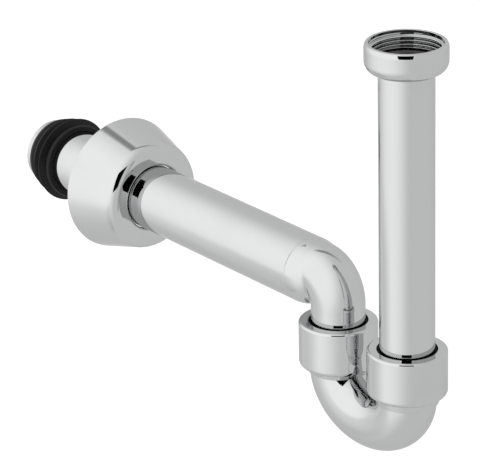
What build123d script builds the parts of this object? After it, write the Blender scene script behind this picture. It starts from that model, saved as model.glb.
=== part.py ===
"""Chromed tubular basin trap: union inlet, U-bend on two clamp joints, wall outlet with rosette.

Units are millimetres, Z is up. The origin lies on the inlet axis, where the union nut's thread
starts. The outlet leg stands at -X of the inlet leg and the outlet pipe runs on along -X.
"""

import math
import os

from build123d import *

# Tubes
tube_od = 32.0
tube_wall = 1.0
outlet_od = 40.0
outlet_wall = 1.0

# Layout
leg_spacing = 62.0
clamp_top_drop = 183.0
outlet_drop = 2.4
outlet_rise = 23.1
insert_depth = 22.0
outlet_reach = 289.0

# Clearances
slip_gap = 0.3
face_gap = 0.1
braze_gap = 0.1
thread_gap = 0.35
stretch_gap = 0.1

# Union nut for a G1 1/4 waste thread
union_thread_d = 41.92
union_thread_depth = 1.48
union_thread_length = 10.4
union_relief = 0.24
union_wall = 2.79
union_height = 19.5
union_web = 4.0
union_lead_in = 0.6
union_top_round = 1.7
union_foot_land = 0.45
flange_gap = 0.38
flange_thickness = 1.2
flange_mouth_round = 0.9
washer_width = 3.8
washer_thickness = 2.6

# Brazed sockets
socket_wall = 2.45
socket_lip = 0.6
socket_stop = 2.2
collar_step = 1.5
collar_taper = 0.55
collar_relief = 0.65
inlet_collar_lap = 1.3
outlet_collar_lap = 2.0
collar_edge_round = 0.25
thread_runout = 0.7

# Clamp nuts on the two legs of the bend
clamp_wall = 3.3
clamp_height = 27.7
clamp_web = 3.0
clamp_hole_gap = 1.5
clamp_top_round = 1.6
clamp_foot_land = 0.3
slip_ring_gap = 0.6
slip_ring_thickness = 1.1
seal_nose = 0.8
seal_rim = 2.0
seal_height = 4.4
seat_gap = 0.15

# U-bend
bend_wall = 0.8
bend_depth = 24.7
bend_straight = 2.3
joint_step = 0.4

# Reducing elbow
elbow_reach = 25.7
elbow_turn_r = 17.0
elbow_lift = 3.7
elbow_dome_length = 17.0
elbow_dome_drop = 13.0
elbow_crease_round = 2.0

# Wall rosette of spun sheet
rosette_rim_d = 83.4
rosette_sheet = 1.0
rosette_depth = 34.8
rosette_back = 213.3
rosette_slope = 14.8
rosette_shoulder = 8.0
rosette_lip_round = 1.6
rosette_lip = 3.2

# Rubber wall seal
wall_seal_front = 260.0
wall_seal_length = 23.0
wall_seal_collar_height = 3.5
wall_seal_collar = 3.4
wall_seal_groove_height = 2.2
wall_seal_lip_height = 7.0
wall_seal_lip_at = 6.5
wall_seal_second_height = 5.0
wall_seal_second_at = 14.0
wall_seal_tail_height = 3.0
wall_seal_tail_at = 20.2
wall_seal_rise = 1.9
wall_seal_end_height = 2.0

# Derived radii and levels
tube_r = tube_od / 2
tube_bore_r = tube_r - tube_wall
outlet_r = outlet_od / 2
outlet_bore_r = outlet_r - outlet_wall
leg_bore_r = tube_r + slip_gap
bend_r = leg_bore_r + bend_wall
clamp_top = -clamp_top_drop
outlet_clamp_top = clamp_top - outlet_drop
outlet_axis_z = outlet_clamp_top + outlet_rise
union_thread_r = union_thread_d / 2
union_relief_r = union_thread_r + union_relief
union_r = union_thread_r + union_wall
union_shoulder_round = union_r - leg_bore_r - union_foot_land
union_foot_z = union_lead_in - union_height
union_seat_z = union_foot_z + union_web
flange_r = union_thread_r - union_thread_depth - flange_gap
flange_bottom = union_seat_z + face_gap
flange_top = flange_bottom + flange_thickness
washer_bore_r = flange_r - washer_width
socket_r = bend_r + braze_gap + socket_wall
seal_seat_r = socket_r - socket_lip
seal_r = seal_seat_r - seat_gap
seal_tip_r = leg_bore_r + seal_nose
collar_r = bend_r + braze_gap + collar_step
collar_foot_r = collar_r - collar_taper
clamp_bore_r = socket_r + thread_gap
clamp_r = clamp_bore_r + clamp_wall
clamp_hole_r = tube_r + clamp_hole_gap
clamp_foot_round = clamp_wall - clamp_foot_land
slip_ring_r = clamp_bore_r - slip_ring_gap
ring_top = -clamp_web - face_gap
seal_top = ring_top - slip_ring_thickness - face_gap
seal_edge = seal_top - seal_rim
seal_tip = seal_top - seal_height
socket_floor = seal_tip - seat_gap
socket_step = socket_floor - socket_stop
bend_start_z = clamp_top - clamp_height - bend_straight
outlet_axis = Axis((-leg_spacing, 0, outlet_axis_z), (-1, 0, 0))
outlet_plane = Plane(origin=(-leg_spacing, 0, outlet_axis_z), x_dir=(-1, 0, 0), z_dir=(0, 1, 0))

os.makedirs("parts", exist_ok=True)


def corner(sketch, across, along):
    """Vertex of a profile sketch nearest to a point given in the sketch's own coordinates."""
    return sketch.vertices().sort_by_distance((across, along))[0]


# Union nut, open upwards, hung on the flange of the inlet tube
with BuildPart() as inlet_nut:
    with BuildSketch(Plane.XZ) as profile:
        with BuildLine():
            Polyline(
                (union_thread_r + union_lead_in, union_lead_in),
                (union_r, union_lead_in),
                (union_r, union_foot_z),
                (leg_bore_r, union_foot_z),
                (leg_bore_r, union_seat_z),
                (union_relief_r, union_seat_z),
                (union_relief_r, -union_thread_length),
                (union_thread_r, -union_thread_length),
                (union_thread_r, 0),
                close=True,
            )
        make_face()
        fillet(corner(profile, union_r, union_lead_in), union_top_round)
        fillet(corner(profile, union_r, union_foot_z), union_shoulder_round)
    revolve(axis=Axis.Z)
inlet_nut.part.label = "inlet_nut"
export_step(inlet_nut.part, "parts/inlet_nut.step")

# Flat washer on the tube's flange
with BuildPart() as inlet_washer:
    with BuildSketch(Plane.XY.offset(flange_top + face_gap)):
        Circle(flange_r)
        Circle(washer_bore_r, mode=Mode.SUBTRACT)
    extrude(amount=washer_thickness)
inlet_washer.part.label = "inlet_washer"
export_step(inlet_washer.part, "parts/inlet_washer.step")

# Inlet tube with its turned-out flange
with BuildPart() as inlet_tube:
    with BuildSketch(Plane.XZ) as profile:
        with BuildLine():
            Polyline(
                (tube_bore_r, clamp_top - insert_depth),
                (tube_r, clamp_top - insert_depth),
                (tube_r, flange_bottom),
                (flange_r, flange_bottom),
                (flange_r, flange_top),
                (tube_bore_r, flange_top),
                close=True,
            )
        make_face()
        fillet(corner(profile, tube_bore_r, flange_top), flange_mouth_round)
    revolve(axis=Axis.Z)
inlet_tube.part.label = "inlet_tube"
export_step(inlet_tube.part, "parts/inlet_tube.step")

# The two clamp joints: nut, slip ring, cone seal and brazed socket on each leg
for side, leg_x, nut_top, collar_lap in (
    ("inlet", 0.0, clamp_top, inlet_collar_lap),
    ("outlet", -leg_spacing, outlet_clamp_top, outlet_collar_lap),
):
    leg_axis = Axis((leg_x, 0, 0), (0, 0, 1))
    leg_plane = Plane(origin=(leg_x, 0, nut_top), x_dir=(1, 0, 0), z_dir=(0, -1, 0))
    collar_foot = bend_start_z - collar_lap - nut_top

    with BuildPart() as clamp_nut:
        with BuildSketch(leg_plane) as profile:
            with BuildLine():
                Polyline(
                    (clamp_hole_r, 0),
                    (clamp_r, 0),
                    (clamp_r, -clamp_height),
                    (clamp_bore_r, -clamp_height),
                    (clamp_bore_r, -clamp_web),
                    (clamp_hole_r, -clamp_web),
                    close=True,
                )
            make_face()
            fillet(corner(profile, clamp_r, 0), clamp_top_round)
            fillet(corner(profile, clamp_r, -clamp_height), clamp_foot_round)
        revolve(axis=leg_axis)
    clamp_nut.part.label = f"{side}_clamp_nut"
    export_step(clamp_nut.part, f"parts/{side}_clamp_nut.step")

    with BuildPart() as slip_ring:
        with BuildSketch(leg_plane) as profile:
            with BuildLine():
                Polyline(
                    (leg_bore_r, ring_top),
                    (slip_ring_r, ring_top),
                    (slip_ring_r, ring_top - slip_ring_thickness),
                    (leg_bore_r, ring_top - slip_ring_thickness),
                    close=True,
                )
            make_face()
        revolve(axis=leg_axis)
    slip_ring.part.label = f"{side}_slip_ring"
    export_step(slip_ring.part, f"parts/{side}_slip_ring.step")

    with BuildPart() as cone_seal:
        with BuildSketch(leg_plane) as profile:
            with BuildLine():
                Polyline(
                    (leg_bore_r, seal_top),
                    (seal_r, seal_top),
                    (seal_r, seal_edge),
                    (seal_tip_r, seal_tip),
                    (leg_bore_r, seal_tip),
                    close=True,
                )
            make_face()
        revolve(axis=leg_axis)
    cone_seal.part.label = f"{side}_cone_seal"
    export_step(cone_seal.part, f"parts/{side}_cone_seal.step")

    with BuildPart() as socket:
        with BuildSketch(leg_plane) as profile:
            with BuildLine():
                Polyline(
                    (seal_seat_r, seal_edge),
                    (socket_r, seal_edge),
                    (socket_r, -clamp_height + thread_runout),
                    (collar_r, -clamp_height),
                    (collar_foot_r, collar_foot),
                    (bend_r + collar_relief, collar_foot),
                    (bend_r + collar_relief, bend_start_z - nut_top),
                    (bend_r + braze_gap, bend_start_z - nut_top),
                    (bend_r + braze_gap, socket_step),
                    (leg_bore_r, socket_step),
                    (leg_bore_r, socket_floor),
                    (seal_tip_r + seat_gap, socket_floor),
                    (seal_tip_r + seat_gap, seal_tip),
                    close=True,
                )
            make_face()
            fillet(corner(profile, collar_foot_r, collar_foot), collar_edge_round)
        revolve(axis=leg_axis)
    socket.part.label = f"{side}_socket"
    export_step(socket.part, f"parts/{side}_socket.step")

# U-bend: straight legs and a half-ellipse between them
with BuildPart() as u_bend:
    leg_top = clamp_top + socket_step - face_gap
    outlet_leg_top = leg_top - outlet_drop
    with BuildLine(Plane.XZ) as route:
        Line((-leg_spacing, outlet_leg_top), (-leg_spacing, bend_start_z))
        EllipticalCenterArc(
            (-leg_spacing / 2, bend_start_z),
            leg_spacing / 2,
            bend_depth,
            start_angle=180,
            arc_size=180,
        )
        Line((0, bend_start_z), (0, leg_top))
    with BuildSketch(Plane(origin=(-leg_spacing, 0, outlet_leg_top), z_dir=(0, 0, -1))):
        Circle(bend_r)
        Circle(leg_bore_r, mode=Mode.SUBTRACT)
    sweep()
u_bend.part.label = "u_bend"
export_step(u_bend.part, "parts/u_bend.step")

# Reducing elbow: a tight bend of the leg's size that runs into the domed end of the outlet size,
# set high in it so that the two are flush on top
with BuildPart() as outlet_elbow:
    turn_axis_z = outlet_axis_z + elbow_lift
    turn_start_z = turn_axis_z - elbow_turn_r
    leg_foot = (-leg_spacing, outlet_clamp_top - insert_depth)
    with BuildLine(Plane.XZ, mode=Mode.PRIVATE) as turn:
        Line(leg_foot, (-leg_spacing, turn_start_z))
        CenterArc((-leg_spacing - elbow_turn_r, turn_start_z), elbow_turn_r, 0, 90)
        Line((-leg_spacing - elbow_turn_r, turn_axis_z), (-leg_spacing - elbow_reach, turn_axis_z))
    for leg_size, mouth_size, inset, fit in (
        (tube_r, outlet_r, 0, Mode.ADD),
        (tube_bore_r, outlet_bore_r, outlet_wall, Mode.SUBTRACT),
    ):
        with BuildSketch(Plane(origin=(-leg_spacing, 0, leg_foot[1]))):
            Circle(leg_size)
        sweep(path=turn.wires()[0], mode=fit)
        dome_length = elbow_dome_length - inset
        dome_drop = elbow_dome_drop - inset
        dome_end = (elbow_reach - dome_length, mouth_size - dome_drop)
        with BuildSketch(outlet_plane):
            with BuildLine():
                Polyline(dome_end, (dome_end[0], 0), (elbow_reach, 0), (elbow_reach, mouth_size))
                EllipticalCenterArc(
                    (elbow_reach, dome_end[1]),
                    dome_length,
                    dome_drop,
                    start_angle=90,
                    arc_size=90,
                )
            make_face()
        revolve(axis=outlet_axis, mode=fit)
    crease = outlet_elbow.edges().filter_by(GeomType.BSPLINE).sort_by(SortBy.LENGTH)[-2:]
    fillet(crease, elbow_crease_round)
outlet_elbow.part.label = "outlet_elbow"
export_step(outlet_elbow.part, "parts/outlet_elbow.step")

# Outlet tube, brazed to the elbow's mouth
with BuildPart() as outlet_tube:
    tube_start = outlet_plane.from_local_coords((elbow_reach + braze_gap, 0, 0))
    with BuildSketch(Plane(origin=tube_start, z_dir=(-1, 0, 0))):
        Circle(outlet_r)
        Circle(outlet_bore_r, mode=Mode.SUBTRACT)
    extrude(amount=outlet_reach - elbow_reach - braze_gap)
    seam_edges = outlet_tube.edges().filter_by(GeomType.CIRCLE).sort_by(Axis.X)[-2:]
    chamfer(seam_edges.sort_by(SortBy.LENGTH)[-1], joint_step)
outlet_tube.part.label = "outlet_tube"
export_step(outlet_tube.part, "parts/outlet_tube.step")

# Wall rosette: spun sheet with a conical skirt, a round shoulder and a flat front turned in at the tube
with BuildPart() as wall_rosette:
    front = rosette_back - rosette_depth
    hole_r = outlet_r + slip_gap
    slope = math.radians(rosette_slope)
    skirt_wall = rosette_sheet / math.cos(slope)
    rim_r = rosette_rim_d / 2
    front_r = rim_r - rosette_depth * math.tan(slope)
    inner_front_r = front_r + rosette_sheet * math.tan(slope) - skirt_wall
    with BuildSketch(outlet_plane) as profile:
        with BuildLine():
            Polyline(
                (rosette_back, rim_r),
                (front, front_r),
                (front, hole_r),
                (front + rosette_lip, hole_r),
                (front + rosette_lip, hole_r + rosette_sheet),
                (front + rosette_sheet, hole_r + rosette_sheet),
                (front + rosette_sheet, inner_front_r),
                (rosette_back, rim_r - skirt_wall),
                close=True,
            )
        make_face()
        fillet(corner(profile, front, front_r), rosette_shoulder)
        fillet(corner(profile, front, hole_r), rosette_lip_round)
        inner_lip = corner(profile, front + rosette_sheet, hole_r + rosette_sheet)
        fillet(inner_lip, rosette_lip_round - rosette_sheet)
        inner_shoulder = corner(profile, front + rosette_sheet, inner_front_r)
        fillet(inner_shoulder, rosette_shoulder - rosette_sheet)
    revolve(axis=outlet_axis)
wall_rosette.part.label = "wall_rosette"
export_step(wall_rosette.part, "parts/wall_rosette.step")

# Ribbed rubber sleeve between the outlet tube and the wall socket
with BuildPart() as wall_seal:
    sleeve_r = outlet_r + stretch_gap
    collar_top_r = outlet_r + wall_seal_collar_height
    groove_r = outlet_r + wall_seal_groove_height
    collar_end = wall_seal_front + wall_seal_collar
    lip_top = wall_seal_front + wall_seal_lip_at
    second_top = wall_seal_front + wall_seal_second_at
    tail_top = wall_seal_front + wall_seal_tail_at
    seal_end = wall_seal_front + wall_seal_length
    with BuildSketch(outlet_plane):
        with BuildLine():
            Polyline(
                (wall_seal_front, sleeve_r),
                (wall_seal_front, collar_top_r),
                (collar_end, collar_top_r),
                (collar_end, groove_r),
                (lip_top - wall_seal_rise, groove_r),
                (lip_top, outlet_r + wall_seal_lip_height),
                (second_top - wall_seal_rise, groove_r),
                (second_top, outlet_r + wall_seal_second_height),
                (tail_top - wall_seal_rise, groove_r),
                (tail_top, outlet_r + wall_seal_tail_height),
                (seal_end, outlet_r + wall_seal_end_height),
                (seal_end, sleeve_r),
                close=True,
            )
        make_face()
    revolve(axis=outlet_axis)
wall_seal.part.label = "wall_seal"
export_step(wall_seal.part, "parts/wall_seal.step")
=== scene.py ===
"""Studio scene of a chromed basin trap, dressed in the frame of its CAD model.

The pieces' sizes are in millimetres, the meshes and the studio in metres, in the frame of the CAD
model: the origin lies on the inlet axis at the start of the union thread, Z is up, and the outlet
runs to -X.
Each piece in plain view is one closed surface worked out with numpy: a ring of stations, each
with a centre, a radius or one radius per angle, and two unit directions that span its circle.
"""

import logging
import math
from dataclasses import dataclass
from enum import Enum
from typing import Any, Sequence, Union

import bpy
import numpy as np
from mathutils import Matrix, Vector


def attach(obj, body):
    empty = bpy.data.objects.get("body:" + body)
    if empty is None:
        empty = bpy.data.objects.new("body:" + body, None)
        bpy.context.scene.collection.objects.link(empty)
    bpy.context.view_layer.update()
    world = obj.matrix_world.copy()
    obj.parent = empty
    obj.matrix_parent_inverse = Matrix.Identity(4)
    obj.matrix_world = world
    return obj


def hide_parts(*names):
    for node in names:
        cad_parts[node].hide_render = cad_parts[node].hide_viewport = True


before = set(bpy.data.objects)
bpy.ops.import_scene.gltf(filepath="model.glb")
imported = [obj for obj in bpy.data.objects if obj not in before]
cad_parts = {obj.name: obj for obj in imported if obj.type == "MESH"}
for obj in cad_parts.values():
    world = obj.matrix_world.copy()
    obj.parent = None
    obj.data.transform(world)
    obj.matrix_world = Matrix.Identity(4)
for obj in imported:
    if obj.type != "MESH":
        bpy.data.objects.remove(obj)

LOG = logging.getLogger("trap_scene")
MM = 0.001
ELBOW_SKIN = "outlet_elbow_skin"

# Sizes that several pieces share, in millimetres
LEG_SPACING = 62.0
BEND_START = -213.0
OUTLET_HEIGHT = -162.3

# Rounds of crisp and of broken edges, in millimetres
CRISP = 0.05
BROKEN = 0.2

# Fineness of the meshes and a guard for divisions
AROUND = 256
SUPPORT_SHARE = 0.3
TINY = 1e-6

# Directions of the frame and the studio's white
UP = (0.0, 0.0, 1.0)
BACK = (0.0, 1.0, 0.0)
INLETWARD = (1.0, 0.0, 0.0)
WALLWARD = (-1.0, 0.0, 0.0)
WHITE = (1.0, 1.0, 1.0)

Array = np.ndarray
Pair = tuple[float, float]
Triple = tuple[float, float, float]
Colour = tuple[float, float, float, float]


class Slot(str, Enum):
    """Material slots of the part's record."""

    CHROME = "chrome"
    RUBBER = "rubber"
    NYLON = "nylon"
    FIBRE = "fibre"


class Body(str, Enum):
    """Moving bodies of the part's record."""

    UNION_NUT = "union_nut"
    INLET_PIPE = "inlet_pipe"
    BEND = "bend"
    INLET_CLAMP = "inlet_clamp"
    OUTLET_CLAMP = "outlet_clamp"
    WALL_PIPE = "wall_pipe"
    ROSETTE = "rosette"


# Shader graphs


class Value:
    """Output socket of a shader graph; numbers take part in plain arithmetic."""

    def __init__(self, graph: "Graph", socket: bpy.types.NodeSocket) -> None:
        """Wraps a socket.

        Args:
            graph: Graph that the socket belongs to.
            socket: Output socket that carries the value.
        """
        self.graph = graph
        self.socket = socket

    def _with(self, operation: str, left: "Term", right: "Term") -> "Value":
        """Joins two terms by a math node.

        Args:
            operation: Name of the math operation.
            left: First term.
            right: Second term.

        Returns:
            The result as a value.
        """
        return self.graph.node("ShaderNodeMath", {"operation": operation}, {0: left, 1: right})

    def __add__(self, other: "Term") -> "Value":
        """Returns self + other."""
        return self._with("ADD", self, other)

    def __radd__(self, other: "Term") -> "Value":
        """Returns other + self."""
        return self._with("ADD", other, self)

    def __sub__(self, other: "Term") -> "Value":
        """Returns self - other."""
        return self._with("SUBTRACT", self, other)

    def __rsub__(self, other: "Term") -> "Value":
        """Returns other - self."""
        return self._with("SUBTRACT", other, self)

    def __mul__(self, other: "Term") -> "Value":
        """Returns self times other."""
        return self._with("MULTIPLY", self, other)

    def __rmul__(self, other: "Term") -> "Value":
        """Returns other times self."""
        return self._with("MULTIPLY", other, self)

    def ramp(self, low: float, high: float) -> "Value":
        """Smooth step from 0 at low to 1 at high.

        Args:
            low: Value where the step starts.
            high: Value where the step ends.

        Returns:
            The step as a value from 0 to 1.
        """
        return self.graph.node(
            "ShaderNodeMapRange",
            {"interpolation_type": "SMOOTHSTEP"},
            {"Value": self, "From Min": low, "From Max": high},
        )


Term = Union[Value, int, float]


class Graph:
    """Node tree that is filled by one call per node."""

    def __init__(self, tree: bpy.types.NodeTree) -> None:
        """Empties the tree.

        Args:
            tree: Node tree of a material or of the world.
        """
        self.tree = tree
        tree.nodes.clear()

    def node(
        self,
        kind: str,
        settings: dict[str, Any],
        inputs: dict[Union[int, str], Any],
        output: Union[int, str] = 0,
    ) -> Value:
        """Adds a node, sets its options and fills its inputs.

        Args:
            kind: Node type.
            settings: Node attributes by name.
            inputs: Values or constants by input name or index.
            output: Name or index of the output to hand back.

        Returns:
            The output.
        """
        made = self.tree.nodes.new(kind)
        for name, option in settings.items():
            setattr(made, name, option)
        for key, term in inputs.items():
            if isinstance(term, Value):
                self.tree.links.new(term.socket, made.inputs[key])
            else:
                made.inputs[key].default_value = term
        return Value(self, made.outputs[output])

    def position(self) -> Value:
        """Returns the object coordinates, in metres."""
        return self.node("ShaderNodeTexCoord", {}, {}, "Object")

    def dot(self, way: Value, fixed: Sequence[float]) -> Value:
        """Dot product of a varying direction and a fixed one.

        Args:
            way: Varying direction.
            fixed: Fixed direction.

        Returns:
            The product.
        """
        return self.node(
            "ShaderNodeVectorMath", {"operation": "DOT_PRODUCT"}, {0: way, 1: fixed}, "Value"
        )

    def noise(self, scale: float, detail: float) -> Value:
        """Noise in object coordinates, about 0.5 in the mean.

        Args:
            scale: Grains per metre.
            detail: Number of finer layers.

        Returns:
            The noise as a value from 0 to 1.
        """
        return self.node(
            "ShaderNodeTexNoise",
            {},
            {"Vector": self.position(), "Scale": scale, "Detail": detail},
            "Fac",
        )

    def grey(self, level: Term, tint: Sequence[float]) -> Value:
        """Colour of a given level.

        Args:
            level: Brightness.
            tint: Red, green and blue shares.

        Returns:
            The colour.
        """
        shares = [level * share for share in tint]
        return self.node(
            "ShaderNodeCombineColor", {}, {"Red": shares[0], "Green": shares[1], "Blue": shares[2]}
        )

    def bump(self, height: Value, strength: float, distance: float) -> Value:
        """Normal of a surface raised by a height.

        Args:
            height: Height from 0 to 1.
            strength: Share of the effect.
            distance: Height of 1, in metres.

        Returns:
            The normal.
        """
        return self.node(
            "ShaderNodeBump",
            {},
            {"Height": height, "Strength": strength, "Distance": distance},
            "Normal",
        )

    def surface(self, shader: Value, kind: str = "ShaderNodeOutputMaterial") -> None:
        """Connects a shader to the tree's output.

        Args:
            shader: Output of a shader node.
            kind: Output node type.
        """
        self.tree.links.new(shader.socket, self.tree.nodes.new(kind).inputs["Surface"])


def new_material(name: str) -> tuple[bpy.types.Material, Graph]:
    """Material without nodes.

    Args:
        name: Name of the material.

    Returns:
        The material and its empty graph.
    """
    material = bpy.data.materials.new(name)
    material.use_nodes = True
    return material, Graph(material.node_tree)


@dataclass(frozen=True)
class Finish:
    """Finish of one material slot."""

    slot: Slot

    def graph(self) -> tuple[bpy.types.Material, Graph]:
        """Returns a new material named after the slot, with its empty graph."""
        return new_material(f"{self.slot.value}_finish")

    def material(self) -> bpy.types.Material:
        """Returns the material of the finish."""
        raise NotImplementedError


@dataclass(frozen=True)
class Chrome(Finish):
    """Bright chrome plate: a clear mirror with faint wipe marks and a trace of unevenness.

    cloud, wipe and wave are noises, each with a scale and a detail. A span gives the noise where
    a mark starts and where it is full.
    """

    slot: Slot = Slot.CHROME
    level: float = 0.58
    level_spread: float = 0.02
    tint: Triple = (0.995, 1.0, 1.005)
    rim_tint: Colour = (0.8, 0.8, 0.8, 1.0)
    roughness: float = 0.035
    roughness_spread: float = 0.045
    cloud: Pair = (24.0, 3.0)
    cloud_span: Pair = (0.45, 0.75)
    wipe: Pair = (130.0, 5.0)
    wipe_span: Pair = (0.18, 0.45)
    wave: Pair = (38.0, 1.0)
    wave_height: float = 0.00002

    def material(self) -> bpy.types.Material:
        """Returns the chrome material."""
        material, graph = self.graph()
        cloud = graph.noise(*self.cloud)
        wipe = graph.noise(*self.wipe)
        level = self.level - cloud.ramp(*self.cloud_span) * self.level_spread
        wiped = (cloud * wipe).ramp(*self.wipe_span)
        roughness = self.roughness + wiped * self.roughness_spread
        shader = graph.node(
            "ShaderNodeBsdfPrincipled",
            {},
            {
                "Metallic": 1.0,
                "Specular Tint": self.rim_tint,
                "Base Color": graph.grey(level, self.tint),
                "Roughness": roughness,
                "Normal": graph.bump(graph.noise(*self.wave), 1.0, self.wave_height),
            },
        )
        graph.surface(shader)
        return material


@dataclass(frozen=True)
class Moulded(Finish):
    """Moulded rubber or plastic: a dark body with a fine grain and a dusty bloom.

    dust is a noise with a scale and a detail. A span gives the noise where the bloom or the
    roughness starts to rise and where it is full.
    """

    level: float = 0.008
    bloom: float = 0.008
    tint: Triple = (1.0, 1.0, 1.02)
    gloss: float = 0.22
    roughness: float = 0.42
    roughness_spread: float = 0.2
    dust: Pair = (60.0, 4.0)
    bloom_span: Pair = (0.4, 0.8)
    roughness_span: Pair = (0.3, 0.7)
    grain: float = 900.0
    grain_detail: float = 2.0
    relief: float = 0.00006
    relief_share: float = 0.6

    def material(self) -> bpy.types.Material:
        """Returns the moulded material."""
        material, graph = self.graph()
        dust = graph.noise(*self.dust)
        grain = graph.noise(self.grain, self.grain_detail)
        level = self.level + dust.ramp(*self.bloom_span) * self.bloom
        dusty = dust.ramp(*self.roughness_span)
        shader = graph.node(
            "ShaderNodeBsdfPrincipled",
            {},
            {
                "Base Color": graph.grey(level, self.tint),
                "Specular IOR Level": self.gloss,
                "Roughness": self.roughness + dusty * self.roughness_spread,
                "Normal": graph.bump(grain, self.relief_share, self.relief),
            },
        )
        graph.surface(shader)
        return material


class Finishes:
    """Materials by slot, each made once."""

    def __init__(self, finishes: Sequence[Finish]) -> None:
        """Makes the materials.

        Args:
            finishes: One finish per slot.
        """
        self.by_slot = {finish.slot: finish.material() for finish in finishes}

    def dress(self, piece: bpy.types.Object, slot: Slot) -> None:
        """Gives a piece the material of a slot.

        Args:
            piece: Mesh object.
            slot: Slot to take the finish from.
        """
        piece.data.materials.clear()
        piece.data.materials.append(self.by_slot[slot])


# Surfaces


@dataclass(frozen=True)
class Corner:
    """Corner of a profile, with the radius of its round.

    across is the distance from the axis, along the place on the axis, both in millimetres.
    """

    across: float
    along: float
    round: float = 0.1


@dataclass(frozen=True)
class Axis:
    """Axis of a turned piece: a start, a direction and the first direction across it."""

    start: Triple
    along: Triple
    across: Triple

    @classmethod
    def upright(cls, x: float, z: float) -> "Axis":
        """Upright axis in the XZ plane.

        Args:
            x: X of its start, in millimetres.
            z: Z of its start, in millimetres.

        Returns:
            The axis, counted upwards.
        """
        return cls((x, 0.0, z), UP, INLETWARD)

    @classmethod
    def level(cls, x: float, z: float) -> "Axis":
        """Level axis in the XZ plane.

        Args:
            x: X of its start, in millimetres.
            z: Z of its start, in millimetres.

        Returns:
            The axis, counted towards the wall.
        """
        return cls((x, 0.0, z), WALLWARD, UP)


def rounded(corners: Sequence[Corner], steps: int = 16, support: float = 0.12) -> Array:
    """Closed profile through corners, each rounded by an arc.

    Each arc touches both sides of its corner: its centre lies on the corner's bisector, at the
    round divided by the sine of half the corner's angle. A support point on each side, just
    beyond the arc, keeps the flat faces' shading flat.

    Args:
        corners: Corners in order.
        steps: Number of chords per arc.
        support: Distance of the support points from the arc.

    Returns:
        Points as rows of across and along.
    """
    spots = np.array([(corner.across, corner.along) for corner in corners])
    radius = np.array([corner.round for corner in corners])
    back = np.roll(spots, 1, axis=0) - spots
    ahead = np.roll(spots, -1, axis=0) - spots
    back_length = np.linalg.norm(back, axis=1)
    ahead_length = np.linalg.norm(ahead, axis=1)
    back = back / back_length[:, None]
    ahead = ahead / ahead_length[:, None]
    half = np.arccos(np.clip((back * ahead).sum(axis=1), -1.0, 1.0)) / 2
    reach = radius / np.tan(half)
    bisector = back + ahead
    bisector = bisector / np.linalg.norm(bisector, axis=1)[:, None]
    centre = spots + bisector * (radius / np.sin(half))[:, None]
    begin = spots + back * reach[:, None] - centre
    end = spots + ahead * reach[:, None] - centre
    sweep = np.pi - 2 * half
    share = np.linspace(0.0, 1.0, steps + 1)[None, :, None]
    turn = sweep[:, None, None]
    arcs = centre[:, None] + (
        np.sin((1 - share) * turn) * begin[:, None] + np.sin(share * turn) * end[:, None]
    ) / np.sin(turn)
    next_reach = np.roll(reach, -1)
    last_reach = np.roll(reach, 1)
    room_ahead = np.minimum(support, SUPPORT_SHARE * (ahead_length - reach - next_reach))
    room_back = np.minimum(support, SUPPORT_SHARE * (back_length - reach - last_reach))
    before = spots + back * (reach + room_back)[:, None]
    after = spots + ahead * (reach + room_ahead)[:, None]
    return np.concatenate([before[:, None], arcs, after[:, None]], axis=1).reshape(-1, 2)


def densified(points: Array, spacing: float, wanted: Array) -> Array:
    """Adds evenly spaced points to chosen sides of a closed profile.

    Args:
        points: Closed profile as rows of across and along.
        spacing: Longest distance between points on the chosen sides.
        wanted: True for each point whose following side is chosen.

    Returns:
        The profile with the added points.
    """
    side = np.roll(points, -1, axis=0) - points
    length = np.linalg.norm(side, axis=1)
    count = np.where(wanted, np.ceil(length / spacing), 1).astype(int)
    owner = np.repeat(np.arange(len(points)), count)
    first = np.repeat(np.cumsum(count) - count, count)
    share = (np.arange(count.sum()) - first) / count[owner]
    return points[owner] + side[owner] * share[:, None]


def spokes(first: Array, second: Array, around: int) -> Array:
    """Unit directions from the centres of circles to their points.

    The direction at angle a is the cosine of a in the circle's first direction plus the sine of
    a in its second.

    Args:
        first: First unit direction of each circle.
        second: Second unit direction of each circle.
        around: Number of angles.

    Returns:
        One direction per circle and angle.
    """
    angle = np.arange(around) * (2 * np.pi / around)
    return (
        np.cos(angle)[None, :, None] * first[:, None]
        + np.sin(angle)[None, :, None] * second[:, None]
    )


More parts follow.
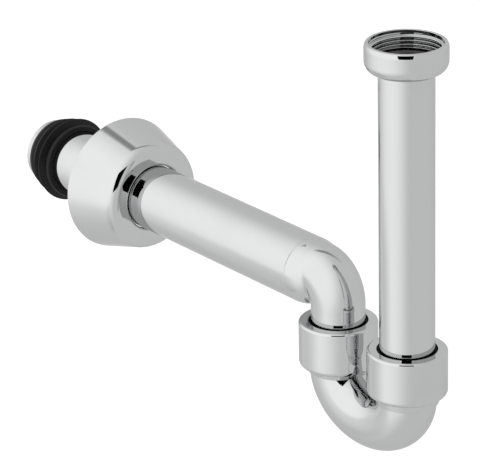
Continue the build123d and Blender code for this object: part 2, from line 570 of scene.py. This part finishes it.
@dataclass
class Stations:
    """Closed ring of circles that a skin is drawn over.

    centres holds the circles' centres, radii one radius per station or one per station and
    angle, first and second the unit directions that span each circle.
    """

    centres: Array
    radii: Array
    first: Array
    second: Array

    @classmethod
    def turned(cls, profile: Array, axis: Axis) -> "Stations":
        """Stations of a profile turned about an axis.

        Args:
            profile: Closed profile as rows of across and along.
            axis: Axis to turn about.

        Returns:
            The stations.
        """
        along = np.array(axis.along)
        across = np.array(axis.across)
        count = (len(profile), 1)
        return cls(
            centres=np.array(axis.start) + profile[:, 1:2] * along,
            radii=profile[:, 0],
            first=np.tile(across, count),
            second=np.tile(np.cross(along, across), count),
        )

    @classmethod
    def piped(cls, route: Array, outer: float, inner: float) -> "Stations":
        """Stations of a pipe along a route in the XZ plane.

        The stations follow the outer wall along the route and the inner wall back. Each circle
        is spanned by the Y direction and the route's normal in the XZ plane.

        Args:
            route: Points of the route.
            outer: Outer radius.
            inner: Inner radius.

        Returns:
            The stations.
        """
        tangent = np.gradient(route, axis=0)
        tangent = tangent / np.linalg.norm(tangent, axis=1)[:, None]
        second = np.tile(BACK, (len(route), 1))
        first = np.cross(second, tangent)
        return cls(
            centres=np.concatenate([route, route[::-1]]),
            radii=np.repeat([outer, inner], len(route)),
            first=np.concatenate([first, first[::-1]]),
            second=np.concatenate([second, second]),
        )

    def skin(self, name: str, around: int = AROUND) -> bpy.types.Object:
        """Closed mesh over the stations.

        The point at station i and angle a is the centre plus the radius times the spoke at a.
        The grid closes both ways.

        Args:
            name: Name of the object.
            around: Number of angles.

        Returns:
            The mesh object, with a UV map of angle and station.
        """
        rows = len(self.centres)
        radii = self.radii.reshape(rows, -1)[:, :, None]
        circle = spokes(self.first, self.second, around)
        points = (self.centres[:, None] + radii * circle).reshape(-1, 3) * MM
        row, column = np.meshgrid(np.arange(rows), np.arange(around), indexing="ij")
        next_row = (row + 1) % rows
        next_column = (column + 1) % around
        quads = np.stack(
            [
                row * around + column,
                row * around + next_column,
                next_row * around + next_column,
                next_row * around + column,
            ],
            axis=-1,
        ).reshape(-1, 4)
        a, b, c, d = (points[quads[:, k]] for k in range(4))
        volume = (a * (np.cross(b, c) + np.cross(c, d))).sum()
        uv = np.stack([column, row, column + 1, row, column + 1, row + 1, column, row + 1], -1)
        uv = uv.reshape(-1, 4, 2) / np.array([around, rows])
        if volume < 0:
            quads = quads[:, ::-1]
            uv = uv[:, ::-1]
        return new_mesh(name, points, quads, uv)


def new_mesh(name: str, points: Array, quads: Array, uv: Array) -> bpy.types.Object:
    """Smooth mesh object from arrays.

    Args:
        name: Name of the object and the mesh.
        points: Vertices, in metres.
        quads: Vertex numbers of the faces.
        uv: UV coordinates of the faces' corners.

    Returns:
        The object, linked to the scene.
    """
    mesh = bpy.data.meshes.new(name)
    mesh.vertices.add(len(points))
    mesh.vertices.foreach_set("co", points.ravel())
    mesh.loops.add(quads.size)
    mesh.loops.foreach_set("vertex_index", quads.ravel())
    mesh.polygons.add(len(quads))
    mesh.polygons.foreach_set("loop_start", np.arange(0, quads.size, quads.shape[1]))
    mesh.polygons.foreach_set("use_smooth", np.ones(len(quads), dtype=bool))
    mesh.update(calc_edges=True)
    layer = mesh.uv_layers.new(name="UVMap")
    layer.data.foreach_set("uv", uv.ravel())
    mesh.validate()
    made = bpy.data.objects.new(name, mesh)
    bpy.context.scene.collection.objects.link(made)
    return made


# Sub-assemblies


@dataclass
class Assembly:
    """Sub-assembly: builds its pieces and sets each in place of its CAD node."""

    finishes: Finishes

    def place(self, piece: bpy.types.Object, body: Body, slot: Slot, node: str) -> None:
        """Ties a piece to its body, its slot and the CAD node it stands for.

        Args:
            piece: The piece.
            body: Body that it moves with.
            slot: Slot of its finish.
            node: CAD node that it stands for.
        """
        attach(piece, body.value)
        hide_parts(node)
        self.finishes.dress(piece, slot)
        LOG.info("%s: %d faces", piece.name, len(piece.data.polygons))

    def turned(
        self, name: str, corners: Sequence[Corner], axis: Axis, body: Body, slot: Slot
    ) -> None:
        """Builds a turned piece that stands for the CAD node of the same name.

        Args:
            name: Name of the CAD node.
            corners: Corners of the profile.
            axis: Axis to turn about.
            body: Body that it moves with.
            slot: Slot of its finish.
        """
        skin = Stations.turned(rounded(corners), axis).skin(f"{name}_skin")
        self.place(skin, body, slot, name)

    def build(self) -> None:
        """Builds the pieces."""
        raise NotImplementedError


@dataclass
class Inlet(Assembly):
    """Union nut with its thread, and the inlet tube hung in it."""

    thread_radius: float = 20.96
    thread_depth: float = 1.48
    thread_pitch: float = 2.309
    thread_length: float = 10.4
    thread_fade: float = 1.1
    thread_flat: float = 0.1
    thread_spacing: float = 0.12
    thread_tolerance: float = 0.01
    mouth_edge: float = 0.08
    relief_radius: float = 21.2
    nut_radius: float = 23.75
    nut_foot: float = -16.7
    nut_seat: float = -14.9
    seat_bevel: float = 1.7
    nut_top: float = 0.6
    lead_in: float = 0.2
    plain_length: float = 1.3
    rim_radius: float = 22.85
    rim_depth: float = 2.0
    rim_round: float = 1.2
    brow_round: float = 6.0
    shoulder_round: float = 7.0
    bore_radius: float = 16.3
    tube_radius: float = 16.0
    tube_wall: float = 1.0
    tube_foot: float = -205.0
    flange_radius: float = 19.1
    flange_bottom: float = -14.8
    flange_top: float = -13.6
    mouth_round: float = 0.85
    foot_round: float = 0.3
    axis: Axis = Axis.upright(0.0, 0.0)

    def on_thread(self, profile: Array) -> Array:
        """Finds the threaded wall in a profile.

        Args:
            profile: Closed profile as rows of across and along.

        Returns:
            True for each point on the wall.
        """
        return np.abs(profile[:, 0] - self.thread_radius) < self.thread_tolerance

    def nut(self) -> None:
        """Builds the union nut.

        The thread is a helix cut in the wall: the radius is the thread radius less its depth
        times a smooth ridge of the phase, where the phase is the height divided by the pitch
        plus the angle's share of a turn. The ridge fades out towards both ends.
        """
        profile = rounded(
            [
                Corner(self.thread_radius + self.lead_in, self.nut_top, self.mouth_edge),
                Corner(self.rim_radius, self.nut_top, self.rim_round),
                Corner(self.nut_radius, self.nut_top - self.rim_depth, self.brow_round),
                Corner(self.nut_radius, self.nut_foot, self.shoulder_round),
                Corner(self.bore_radius, self.nut_foot, BROKEN),
                Corner(self.bore_radius, self.nut_seat, CRISP),
                Corner(self.relief_radius - self.seat_bevel, self.nut_seat, CRISP),
                Corner(self.relief_radius, self.nut_seat + self.seat_bevel, CRISP),
                Corner(self.relief_radius, -self.thread_length, CRISP),
                Corner(self.thread_radius, -self.thread_length, CRISP),
                Corner(self.thread_radius, self.nut_top - self.lead_in, CRISP),
            ]
        )
        threaded = self.on_thread(profile)
        profile = densified(profile, self.thread_spacing, threaded & np.roll(threaded, -1))
        stations = Stations.turned(profile, self.axis)
        turn = np.arange(AROUND) / AROUND
        height = profile[:, 1:2]
        phase = np.mod(height / self.thread_pitch + turn[None, :], 1.0)
        ridge = np.abs(2 * phase - 1)
        ridge = np.clip((ridge - self.thread_flat) / (1 - 2 * self.thread_flat), 0.0, 1.0)
        ridge = ridge * ridge * (3 - 2 * ridge)
        from_top = -self.plain_length - height
        ends = np.minimum(from_top, height + self.thread_length) / self.thread_fade
        threaded = self.on_thread(profile)[:, None]
        ridge = np.where(threaded, ridge * np.clip(ends, 0.0, 1.0), 0.0)
        stations.radii = stations.radii[:, None] - self.thread_depth * ridge
        skin = stations.skin("inlet_nut_skin")
        self.place(skin, Body.UNION_NUT, Slot.CHROME, "inlet_nut")

    def tube(self) -> None:
        """Builds the flanged inlet tube."""
        bore = self.tube_radius - self.tube_wall
        corners = [
            Corner(bore, self.tube_foot, BROKEN),
            Corner(self.tube_radius, self.tube_foot, self.foot_round),
            Corner(self.tube_radius, self.flange_bottom, BROKEN),
            Corner(self.flange_radius, self.flange_bottom, BROKEN),
            Corner(self.flange_radius, self.flange_top, BROKEN),
            Corner(bore, self.flange_top, self.mouth_round),
        ]
        self.turned("inlet_tube", corners, self.axis, Body.INLET_PIPE, Slot.CHROME)

    def build(self) -> None:
        """Builds the inlet's pieces."""
        self.nut()
        self.tube()


@dataclass
class ClampJoint(Assembly):
    """Clamp nut and brazed socket on one leg of the bend.

    top and bend_start are heights in the frame. The other heights count from the nut's top.
    """

    side: str = "inlet"
    body: Body = Body.INLET_CLAMP
    leg_x: float = 0.0
    top: float = -183.0
    nut_radius: float = 23.3
    nut_height: float = 27.7
    nut_bore: float = 20.0
    hole_radius: float = 17.5
    web: float = 3.0
    top_round: float = 1.6
    foot_round: float = 3.0
    hole_round: float = 0.45
    thread_edge: float = 0.12
    socket_radius: float = 19.65
    socket_top: float = -6.3
    seat_radius: float = 19.05
    seat_floor: float = -8.85
    nose_radius: float = 17.25
    nose_top: float = -8.7
    bore_radius: float = 16.3
    stop: float = -11.05
    braze_radius: float = 17.2
    runout: float = 0.7
    collar_radius: float = 19.4
    collar_foot_radius: float = 18.3
    collar_round: float = 0.5
    relief_radius: float = 17.6
    bend_start: float = BEND_START
    collar_lap: float = 2.5

    def build(self) -> None:
        """Builds the joint's nut and socket."""
        axis = Axis.upright(self.leg_x, self.top)
        nut = [
            Corner(self.hole_radius, 0.0, self.hole_round),
            Corner(self.nut_radius, 0.0, self.top_round),
            Corner(self.nut_radius, -self.nut_height, self.foot_round),
            Corner(self.nut_bore, -self.nut_height, self.thread_edge),
            Corner(self.nut_bore, -self.web),
            Corner(self.hole_radius, -self.web, BROKEN),
        ]
        self.turned(f"{self.side}_clamp_nut", nut, axis, self.body, Slot.CHROME)
        relief = self.bend_start - self.top
        collar_foot = relief - self.collar_lap
        socket = [
            Corner(self.seat_radius, self.socket_top),
            Corner(self.socket_radius, self.socket_top),
            Corner(self.socket_radius, self.runout - self.nut_height),
            Corner(self.collar_radius, -self.nut_height, BROKEN),
            Corner(self.collar_foot_radius, collar_foot, self.collar_round),
            Corner(self.relief_radius, collar_foot),
            Corner(self.relief_radius, relief),
            Corner(self.braze_radius, relief),
            Corner(self.braze_radius, self.stop),
            Corner(self.bore_radius, self.stop),
            Corner(self.bore_radius, self.seat_floor),
            Corner(self.nose_radius, self.seat_floor, CRISP),
            Corner(self.nose_radius, self.nose_top, CRISP),
        ]
        self.turned(f"{self.side}_socket", socket, axis, Body.BEND, Slot.CHROME)


@dataclass
class Bend(Assembly):
    """The U-bend: two straight legs joined by half an ellipse."""

    leg_spacing: float = LEG_SPACING
    inlet_top: float = -194.15
    outlet_top: float = -196.55
    start: float = BEND_START
    depth: float = 24.7
    outer_radius: float = 17.1
    inner_radius: float = 16.3
    leg_steps: int = 8
    turn_points: int = 161

    def build(self) -> None:
        """Builds the bend.

        The turn runs at an even step of the ellipse's angle, from 180 to 360 degrees.
        """
        down = np.linspace(self.outlet_top, self.start, self.leg_steps, endpoint=False)
        rise = np.linspace(self.start, self.inlet_top, self.leg_steps + 1)[1:]
        angle = np.linspace(np.pi, 2 * np.pi, self.turn_points)
        half = self.leg_spacing / 2
        across = np.concatenate(
            [np.full_like(down, -half), half * np.cos(angle), np.full_like(rise, half)]
        )
        height = np.concatenate([down, self.start + self.depth * np.sin(angle), rise])
        route = np.stack([across - half, np.zeros_like(across), height], axis=1)
        stations = Stations.piped(route, self.outer_radius, self.inner_radius)
        self.place(stations.skin("u_bend_skin"), Body.BEND, Slot.CHROME, "u_bend")


@dataclass
class Outlet(Assembly):
    """Reducing elbow, wall pipe and the rubber sleeve on its end.

    ribs holds the sleeve's outline, counted from its front.
    """

    leg_x: float = -LEG_SPACING
    axis_height: float = OUTLET_HEIGHT
    leg_foot: float = -207.4
    fan_height: float = -190.0
    reach: float = 25.7
    turn_radius: float = 17.0
    turn_lift: float = 3.7
    dome_length: float = 17.0
    dome_drop: float = 13.0
    blend: float = 2.8
    blend_least: float = 0.05
    fade_start: float = 6.0
    fade_length: float = 24.0
    leg_radius: float = 16.0
    mouth_radius: float = 20.0
    wall: float = 1.0
    pipe_start: float = 25.8
    pipe_end: float = 289.0
    seam_round: float = 0.35
    end_round: float = 0.35
    sleeve_front: float = 260.0
    sleeve_bore: float = 20.1
    sleeve_round: float = 0.3
    ribs: tuple[Corner, ...] = (
        Corner(23.5, 0.0, 0.9),
        Corner(23.5, 3.4, 0.6),
        Corner(22.2, 3.4, 0.3),
        Corner(22.2, 4.6, 0.3),
        Corner(27.0, 6.5, 0.5),
        Corner(22.2, 12.1, 0.5),
        Corner(25.0, 14.0, 0.45),
        Corner(22.2, 18.3, 0.4),
        Corner(23.0, 20.2, 0.4),
        Corner(22.0, 23.0, 0.5),
    )
    leg_steps: int = 10
    fan_points: int = 221
    elbow_around: int = 320
    ray_start: float = 0.5
    ray_steps: int = 120
    ray_share: float = 0.8
    bore_skip: int = 4

    @property
    def axis(self) -> Axis:
        """Axis of the outlet, counted from the elbow's leg towards the wall."""
        return Axis.level(self.leg_x, self.axis_height)

    def elbow_depth(self, points: Array) -> Array:
        """Signed distance of points from the elbow's outside, negative within it.

        The elbow joins two forms. One is the bend: all points within the leg's radius of a line
        that rises, turns by a quarter circle and runs level. The other is the domed end of the
        mouth: its radius follows an ellipse along the outlet axis. The join takes the smaller
        distance, less a round that is as wide as the blend at the foot of the mouth and fades
        out at its top, where both forms are flush.

        Args:
            points: Points as rows of X, Y and Z.

        Returns:
            One distance per point.
        """
        x, y, z = points[..., 0], points[..., 1], points[..., 2]
        lift = self.axis_height + self.turn_lift
        out = x - (self.leg_x - self.turn_radius)
        rise = z - (lift - self.turn_radius)
        straight = np.minimum(np.abs(out - self.turn_radius), np.abs(rise - self.turn_radius))
        turning = np.abs(np.hypot(out, rise) - self.turn_radius)
        line = np.where((out > 0) & (rise > 0), turning, straight)
        bend = np.hypot(line, y) - self.leg_radius
        along = np.maximum(self.reach - (self.leg_x - x), 0.0) / self.dome_length
        core = self.mouth_radius - self.dome_drop
        across = np.hypot(y, z - self.axis_height) - core
        across = np.maximum(across, 0.0) / self.dome_drop
        ratio = np.hypot(along, across)
        steep = np.hypot(along / self.dome_length, across / self.dome_drop)
        dome = (ratio - 1.0) * ratio / np.maximum(steep, TINY)
        fade_top = self.axis_height + self.mouth_radius - self.fade_start
        width = self.blend * np.clip((fade_top - z) / self.fade_length, 0.0, 1.0)
        width = width + self.blend_least
        lap = np.maximum(width - np.abs(bend - dome), 0.0)
        return np.minimum(bend, dome) - lap * lap / (4.0 * width)

    def elbow(self) -> None:
        """Builds the elbow.

        The stations climb the leg and then fan out about a pivot under the elbow's crease, up
        to the mouth. On each ray of a station the outer radius is stepped by its distance from
        the elbow's outside until it settles. The bore lies one wall within and skips most of
        the stations.
        """
        leg = np.linspace(self.leg_foot, self.fan_height, self.leg_steps, endpoint=False)
        angle = np.linspace(0.0, np.pi / 2, self.fan_points)
        spread = self.reach * np.cos(angle)
        climb = (self.axis_height - self.fan_height) * np.sin(angle)
        zero = np.zeros_like(angle)
        arm = np.stack([spread, zero, climb], axis=1)
        pivot = np.array([self.leg_x - self.reach, 0.0, self.fan_height])
        still = np.zeros_like(leg)
        centres = np.concatenate([np.stack([still + self.leg_x, still, leg], axis=1), pivot + arm])
        first = np.concatenate(
            [np.tile(INLETWARD, (len(leg), 1)), arm / np.linalg.norm(arm, axis=1)[:, None]]
        )
        second = np.tile(BACK, (len(centres), 1))
        ray = spokes(first, second, self.elbow_around)
        outer = np.full(ray.shape[:2], self.ray_start * self.leg_radius)
        for _ in range(self.ray_steps):
            spot = centres[:, None] + outer[:, :, None] * ray
            outer = outer - self.ray_share * self.elbow_depth(spot)
        last = len(centres) - 1
        back = np.append(np.arange(last, 0, -self.bore_skip), 0)
        stations = Stations(
            centres=np.concatenate([centres, centres[back]]),
            radii=np.concatenate([outer, outer[back] - self.wall]),
            first=np.concatenate([first, first[back]]),
            second=np.concatenate([second, second[back]]),
        )
        skin = stations.skin(ELBOW_SKIN, self.elbow_around)
        self.place(skin, Body.WALL_PIPE, Slot.CHROME, "outlet_elbow")

    def pipe(self) -> None:
        """Builds the wall pipe."""
        bore = self.mouth_radius - self.wall
        corners = [
            Corner(bore, self.pipe_start),
            Corner(self.mouth_radius, self.pipe_start, self.seam_round),
            Corner(self.mouth_radius, self.pipe_end, self.end_round),
            Corner(bore, self.pipe_end, BROKEN),
        ]
        self.turned("outlet_tube", corners, self.axis, Body.WALL_PIPE, Slot.CHROME)

    def sleeve(self) -> None:
        """Builds the ribbed rubber sleeve."""
        front = self.sleeve_front
        ribs = [Corner(rib.across, front + rib.along, rib.round) for rib in self.ribs]
        corners = [
            Corner(self.sleeve_bore, ribs[0].along, self.sleeve_round),
            *ribs,
            Corner(self.sleeve_bore, ribs[-1].along, self.sleeve_round),
        ]
        self.turned("wall_seal", corners, self.axis, Body.WALL_PIPE, Slot.RUBBER)

    def build(self) -> None:
        """Builds the outlet's pieces."""
        self.elbow()
        self.pipe()
        self.sleeve()


@dataclass
class Rosette(Assembly):
    """Wall rosette of spun sheet: a conical skirt, a round shoulder and a flat front."""

    leg_x: float = -LEG_SPACING
    axis_height: float = OUTLET_HEIGHT
    back: float = 213.3
    depth: float = 34.8
    sheet: float = 1.0
    rim_radius: float = 41.7
    rim_round: float = 0.25
    slope: float = 14.8
    shoulder: float = 8.0
    lip_round: float = 1.6
    lip: float = 3.2
    hole_radius: float = 20.3

    def build(self) -> None:
        """Builds the rosette from the corners of its sheet."""
        slope = math.radians(self.slope)
        wall = self.sheet / math.cos(slope)
        front = self.back - self.depth
        inside = front + self.sheet
        front_radius = self.rim_radius - self.depth * math.tan(slope)
        inner_radius = front_radius + self.sheet * math.tan(slope) - wall
        corners = [
            Corner(self.rim_radius, self.back, self.rim_round),
            Corner(front_radius, front, self.shoulder),
            Corner(self.hole_radius, front, self.lip_round),
            Corner(self.hole_radius, front + self.lip, BROKEN),
            Corner(self.hole_radius + self.sheet, front + self.lip, BROKEN),
            Corner(self.hole_radius + self.sheet, inside, self.lip_round - self.sheet),
            Corner(inner_radius, inside, self.shoulder - self.sheet),
            Corner(self.rim_radius - wall, self.back, self.rim_round),
        ]
        axis = Axis.level(self.leg_x, self.axis_height)
        self.turned("wall_rosette", corners, axis, Body.ROSETTE, Slot.CHROME)


# Studio


@dataclass
class Studio:
    """White studio: camera, soft sky, dark card at the camera, low grey screen and pale floor.

    Lengths are in metres, angles in degrees. A pair that fades something gives the place or the
    direction's share where the fade starts and where it ends.
    """

    focal_pixels: float = 3441.184
    image_width: float = 480.0
    sensor: float = 36.0
    far_clip: float = 50.0
    distance: float = 1.955504
    azimuth: float = 52.788
    elevation: float = 21.957
    roll: float = -1.281
    aside: float = -0.093596
    above: float = 0.066401
    base_height: float = -0.18399
    light_way: Triple = (-0.238, -0.888, 0.394)
    sky: float = 0.825
    sky_lobe: float = 0.58
    lobe_span: Pair = (0.0, 0.95)
    edge_normal: Triple = (-0.655, 0.643, -0.398)
    edge_width: float = 0.11
    edge_depth: float = 0.62
    edge_behind: Pair = (-0.08, 0.12)
    edge_above: Pair = (-0.05, 0.3)
    edge_wallward: Pair = (-0.3, 0.35)
    card_distance: float = 1.0
    card_width: float = 0.69
    card_foot: float = -0.275
    card_top: float = 0.5
    elbow_place: Triple = (-0.052, -0.009, -0.162)
    screen_way: Triple = (-0.5, -0.866, 0.0)
    screen_side: Triple = (-0.866, 0.5, 0.0)
    screen_distance: float = 0.3
    screen_shade: float = 0.2
    screen_colour: Colour = (0.01, 0.01, 0.01, 1.0)
    screen_top: Pair = (-0.26, -0.19)
    screen_foot: Pair = (-0.62, -0.42)
    screen_near: Pair = (-0.1, 0.09)
    screen_far: Pair = (0.14, 0.3)
    floor_height: float = -0.75
    floor_size: float = 6.0
    floor_albedo: float = 0.8
    floor_noise: Pair = (1.5, 2.0)
    floor_spread: float = 0.02
    floor_glow: float = 0.3

    def axes(self) -> tuple[Array, Array, Array]:
        """Camera directions.

        Returns:
            Right, up and forward, before the roll.
        """
        a = math.radians(self.azimuth)
        e = math.radians(self.elevation)
        forward = np.array(
            [-math.sin(a) * math.cos(e), math.cos(a) * math.cos(e), -math.sin(e)]
        )
        right = np.array([math.cos(a), math.sin(a), 0.0])
        return right, np.cross(right, forward), forward

    def camera(self) -> None:
        """Sets the camera at the photograph's viewing angle."""
        right, up, forward = self.axes()
        turn = math.radians(self.roll)
        place = self.aside * right + self.above * up - self.distance * forward
        place = place + np.array([0.0, 0.0, self.base_height])
        x = math.cos(turn) * right + math.sin(turn) * up
        y = math.cos(turn) * up - math.sin(turn) * right
        data = bpy.data.cameras.new("camera")
        data.sensor_width = self.sensor
        data.lens = self.focal_pixels / self.image_width * self.sensor
        data.clip_end = self.far_clip
        made = bpy.data.objects.new("camera", data)
        made.matrix_world = Matrix.Translation(Vector(place)) @ Matrix(
            [[x[k], y[k], -forward[k]] for k in range(3)]
        ).to_4x4()
        bpy.context.scene.collection.objects.link(made)
        bpy.context.scene.camera = made

    def sky_level(self, graph: Graph, way: Value) -> Value:
        """Brightness of the studio's sky.

        A grey sky has one broad soft lobe. A dark edge crosses it overhead towards the back: it
        follows the plane through the object that is normal to edge_normal, and fades out
        towards the front, the inlet's side and below.

        Args:
            graph: Graph that asks for the brightness.
            way: Direction looked at.

        Returns:
            The brightness.
        """
        lobe = graph.dot(way, self.light_way).ramp(*self.lobe_span)
        off_edge = graph.dot(way, self.edge_normal)
        edge = 1 - (off_edge * off_edge).ramp(0.0, self.edge_width**2)
        behind = graph.dot(way, BACK).ramp(*self.edge_behind)
        above = graph.dot(way, UP).ramp(*self.edge_above)
        wallward = graph.dot(way, WALLWARD).ramp(*self.edge_wallward)
        edge = edge * behind * above * wallward * self.edge_depth
        return (self.sky + lobe * self.sky_lobe) * (1 - edge)

    def world(self) -> None:
        """Lights the studio by its sky; the camera sees white."""
        world = bpy.data.worlds.new("studio")
        world.use_nodes = True
        graph = Graph(world.node_tree)
        way = graph.node("ShaderNodeTexCoord", {}, {}, "Generated")
        level = self.sky_level(graph, way)
        seen = graph.node("ShaderNodeLightPath", {}, {}, "Is Camera Ray")
        shown = level * (1 - seen) + seen
        colour = graph.grey(shown, WHITE)
        shader = graph.node("ShaderNodeBackground", {}, {"Color": colour, "Strength": 1.0})
        graph.surface(shader, "ShaderNodeOutputWorld")
        bpy.context.scene.world = world

    def panel(
        self, name: str, centre: Array, x: Array, y: Array, material: bpy.types.Material
    ) -> bpy.types.Object:
        """Flat panel of the studio.

        Args:
            name: Name of the panel.
            centre: Its middle.
            x: Half of its width, as a direction.
            y: Half of its height, as a direction.
            material: Its material.

        Returns:
            The panel.
        """
        points = np.array([centre - x - y, centre + x - y, centre + x + y, centre - x + y])
        corner = np.array([[[0.0, 0.0], [1.0, 0.0], [1.0, 1.0], [0.0, 1.0]]])
        made = new_mesh(name, points, np.array([[0, 1, 2, 3]]), corner)
        made.data.materials.append(material)
        return made

    def card(self) -> None:
        """Hangs a dark card round the camera, which the chrome mirrors in small dark patches.

        The card glows for the elbow alone, as bright as the sky behind it, so that the elbow
        shows no patch.
        """
        material, graph = new_material("card")
        away = graph.node(
            "ShaderNodeVectorMath",
            {"operation": "SUBTRACT"},
            {0: graph.position(), 1: self.elbow_place},
        )
        way = graph.node("ShaderNodeVectorMath", {"operation": "NORMALIZE"}, {0: away})
        colour = graph.grey(self.sky_level(graph, way), WHITE)
        shader = graph.node("ShaderNodeEmission", {}, {"Color": colour, "Strength": 1.0})
        graph.surface(shader)
        right, up, forward = self.axes()
        middle = self.aside * right - self.card_distance * forward
        middle = middle + np.array([0.0, 0.0, self.base_height])
        middle = middle + up * (self.card_top + self.card_foot) / 2
        half = up * (self.card_top - self.card_foot) / 2
        made = self.panel("card", middle, right * self.card_width / 2, half, material)
        made.visible_camera = False
        lit = bpy.data.collections.new("lit_by_card")
        lit.objects.link(bpy.data.objects[ELBOW_SKIN])
        made.light_linking.receiver_collection = lit

    def screen(self) -> None:
        """Stands a thin grey screen low before the object, with soft edges.

        The lower chrome mirrors it, so that its bright side is calmer than higher up.
        """
        material, graph = new_material("screen")
        place = graph.position()
        height = graph.dot(place, UP)
        across = graph.dot(place, self.screen_side)
        dense = height.ramp(*self.screen_foot) * (1 - height.ramp(*self.screen_top))
        dense = dense * across.ramp(*self.screen_near) * (1 - across.ramp(*self.screen_far))
        clear = graph.node("ShaderNodeBsdfTransparent", {}, {})
        dark = graph.node("ShaderNodeBsdfDiffuse", {}, {"Color": self.screen_colour})
        shade = dense * self.screen_shade
        mixed = graph.node("ShaderNodeMixShader", {}, {0: shade, 1: clear, 2: dark})
        graph.surface(mixed)
        side = np.array(self.screen_side)
        low, high = self.screen_foot[0], self.screen_top[1]
        near, far = self.screen_near[0], self.screen_far[1]
        middle = np.array(self.screen_way) * self.screen_distance + side * (near + far) / 2
        middle = middle + np.array([0.0, 0.0, (low + high) / 2])
        made = self.panel(
            "screen",
            middle,
            side * (far - near) / 2,
            np.array([0.0, 0.0, (high - low) / 2]),
            material,
        )
        made.visible_camera = False
        made.visible_diffuse = False
        made.visible_shadow = False

    def floor(self) -> None:
        """Lays the floor: white where nothing shades it, and open to mirrored rays."""
        material, graph = new_material("floor")
        shade = self.floor_albedo + graph.noise(*self.floor_noise) * self.floor_spread
        diffuse = graph.node("ShaderNodeBsdfDiffuse", {}, {"Color": graph.grey(shade, WHITE)})
        to_camera = graph.node("ShaderNodeLightPath", {}, {}, "Is Camera Ray")
        mirrored = graph.node("ShaderNodeLightPath", {}, {}, "Is Glossy Ray")
        glow = graph.node(
            "ShaderNodeEmission", {}, {"Color": (*WHITE, 1.0), "Strength": self.floor_glow}
        )
        lit = graph.node("ShaderNodeAddShader", {}, {0: diffuse, 1: glow})
        seen = graph.node("ShaderNodeMixShader", {}, {0: to_camera, 1: diffuse, 2: lit})
        clear = graph.node("ShaderNodeBsdfTransparent", {}, {})
        mixed = graph.node("ShaderNodeMixShader", {}, {0: mirrored, 1: seen, 2: clear})
        graph.surface(mixed)
        half = self.floor_size / 2
        self.panel(
            "floor",
            np.array([0.0, 0.0, self.floor_height]),
            np.array([half, 0.0, 0.0]),
            np.array([0.0, half, 0.0]),
            material,
        )

    def build(self) -> None:
        """Sets up the studio."""
        self.camera()
        self.world()
        self.card()
        self.screen()
        self.floor()
        bpy.context.scene.view_settings.view_transform = "Standard"


def dress_hidden(finishes: Finishes) -> None:
    """Gives the CAD nodes that stay in view inside the joints their finishes.

    Args:
        finishes: The materials.
    """
    slots = {
        "inlet_washer": Slot.FIBRE,
        "inlet_slip_ring": Slot.NYLON,
        "outlet_slip_ring": Slot.NYLON,
        "inlet_cone_seal": Slot.RUBBER,
        "outlet_cone_seal": Slot.RUBBER,
    }
    for name, slot in slots.items():
        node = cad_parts[name]
        node.data.materials.clear()
        node.data.materials.append(finishes.by_slot[slot])


def main() -> None:
    """Builds the scene and logs the number of faces of each new piece."""
    logging.basicConfig(level=logging.INFO)
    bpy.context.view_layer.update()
    finishes = Finishes(
        [
            Chrome(),
            Moulded(Slot.RUBBER),
            Moulded(Slot.NYLON, level=0.03, roughness=0.5),
            Moulded(Slot.FIBRE, level=0.09, bloom=0.05, grain=420.0),
        ]
    )
    assemblies: list[Assembly] = [
        Inlet(finishes),
        ClampJoint(finishes),
        ClampJoint(
            finishes,
            side="outlet",
            body=Body.OUTLET_CLAMP,
            leg_x=-LEG_SPACING,
            top=-185.4,
            collar_lap=3.5,
        ),
        Bend(finishes),
        Outlet(finishes),
        Rosette(finishes),
    ]
    for assembly in assemblies:
        assembly.build()
    dress_hidden(finishes)
    Studio().build()


if __name__ == "__main__":
    main()
